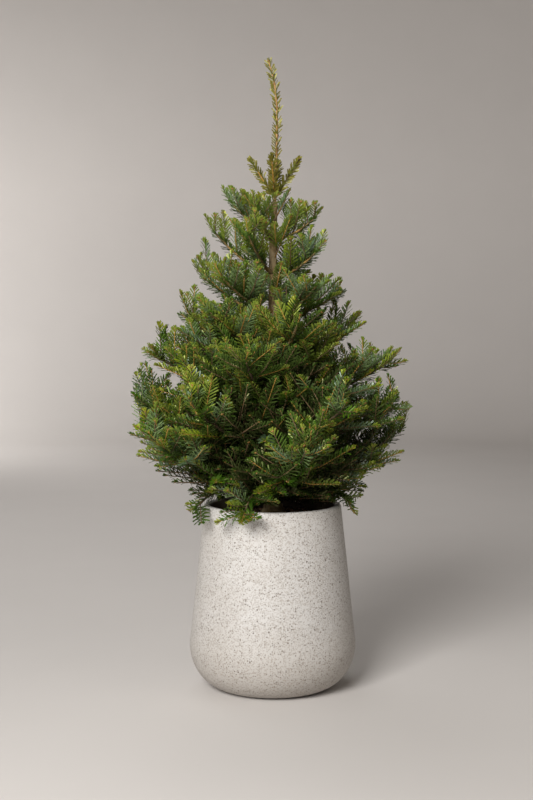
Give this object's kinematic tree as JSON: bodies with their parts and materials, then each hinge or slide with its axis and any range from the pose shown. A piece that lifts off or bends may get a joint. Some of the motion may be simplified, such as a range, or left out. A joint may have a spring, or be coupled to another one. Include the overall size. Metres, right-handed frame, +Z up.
{
  "type": "potted fraser fir",
  "caption": "Young fir with layered, upswept boughs of short needles and a tall, slender leading shoot, in a rounded, slightly tapered stone planter.",
  "frame": {"origin": "centre of the planter's flat underside", "axes": "+Z up the trunk; -Y is the front, the side that the picture shows; +X to the right of it"},
  "size_m": [0.5437, 0.5489, 1.146],
  "materials": {
    "planter_stone": "matte, finely speckled and pitted",
    "compost": "rough",
    "bark": "rough",
    "twigs": "rough",
    "needles": "waxy satin",
    "needle_undersides": "waxy satin",
    "young_needles": "waxy satin",
    "buds": "satin"
  },
  "bodies": {
    "root": {"planter": "planter_stone", "soil": "compost", "trunk": "bark", "top_shoots": "young_needles", "foliage_skirt_1": "needles", "foliage_skirt_2": "needles", "foliage_skirt_3": "needles", "foliage_skirt_4": "needles", "bough_low_1": "bark", "foliage_low_1": "needles", "bough_low_2": "bark", "foliage_low_2": "needles", "bough_low_3": "bark", "foliage_low_3": "needles", "bough_low_4": "bark", "foliage_low_4": "needles", "bough_low_5": "bark", "foliage_low_5": "needles", "bough_broad_1": "bark", "foliage_broad_1": "needles", "bough_broad_2": "bark", "foliage_broad_2": "needles", "bough_broad_3": "bark", "foliage_broad_3": "needles", "bough_broad_4": "bark", "foliage_broad_4": "needles", "bough_broad_5": "bark", "foliage_broad_5": "needles", "bough_broad_6": "bark", "foliage_broad_6": "needles", "bough_middle_1": "bark", "foliage_middle_1": "needles", "bough_middle_2": "bark", "foliage_middle_2": "needles", "bough_middle_3": "bark", "foliage_middle_3": "needles", "bough_middle_4": "bark", "foliage_middle_4": "needles", "bough_middle_5": "bark", "foliage_middle_5": "needles", "foliage_shoulder_1": "needles", "foliage_shoulder_2": "needles", "foliage_shoulder_3": "needles", "foliage_shoulder_4": "needles", "foliage_shoulder_5": "needles", "foliage_upper_1": "needles", "foliage_upper_2": "needles", "foliage_upper_3": "needles", "foliage_upper_4": "needles", "foliage_upper_5": "needles", "foliage_high_1": "needles", "foliage_high_2": "needles", "foliage_high_3": "needles", "foliage_high_4": "needles", "foliage_high_5": "needles", "foliage_spire_1": "needles", "foliage_spire_2": "needles", "foliage_spire_3": "needles", "foliage_spire_4": "needles", "foliage_spire_5": "needles"}
  },
  "joints": []
}
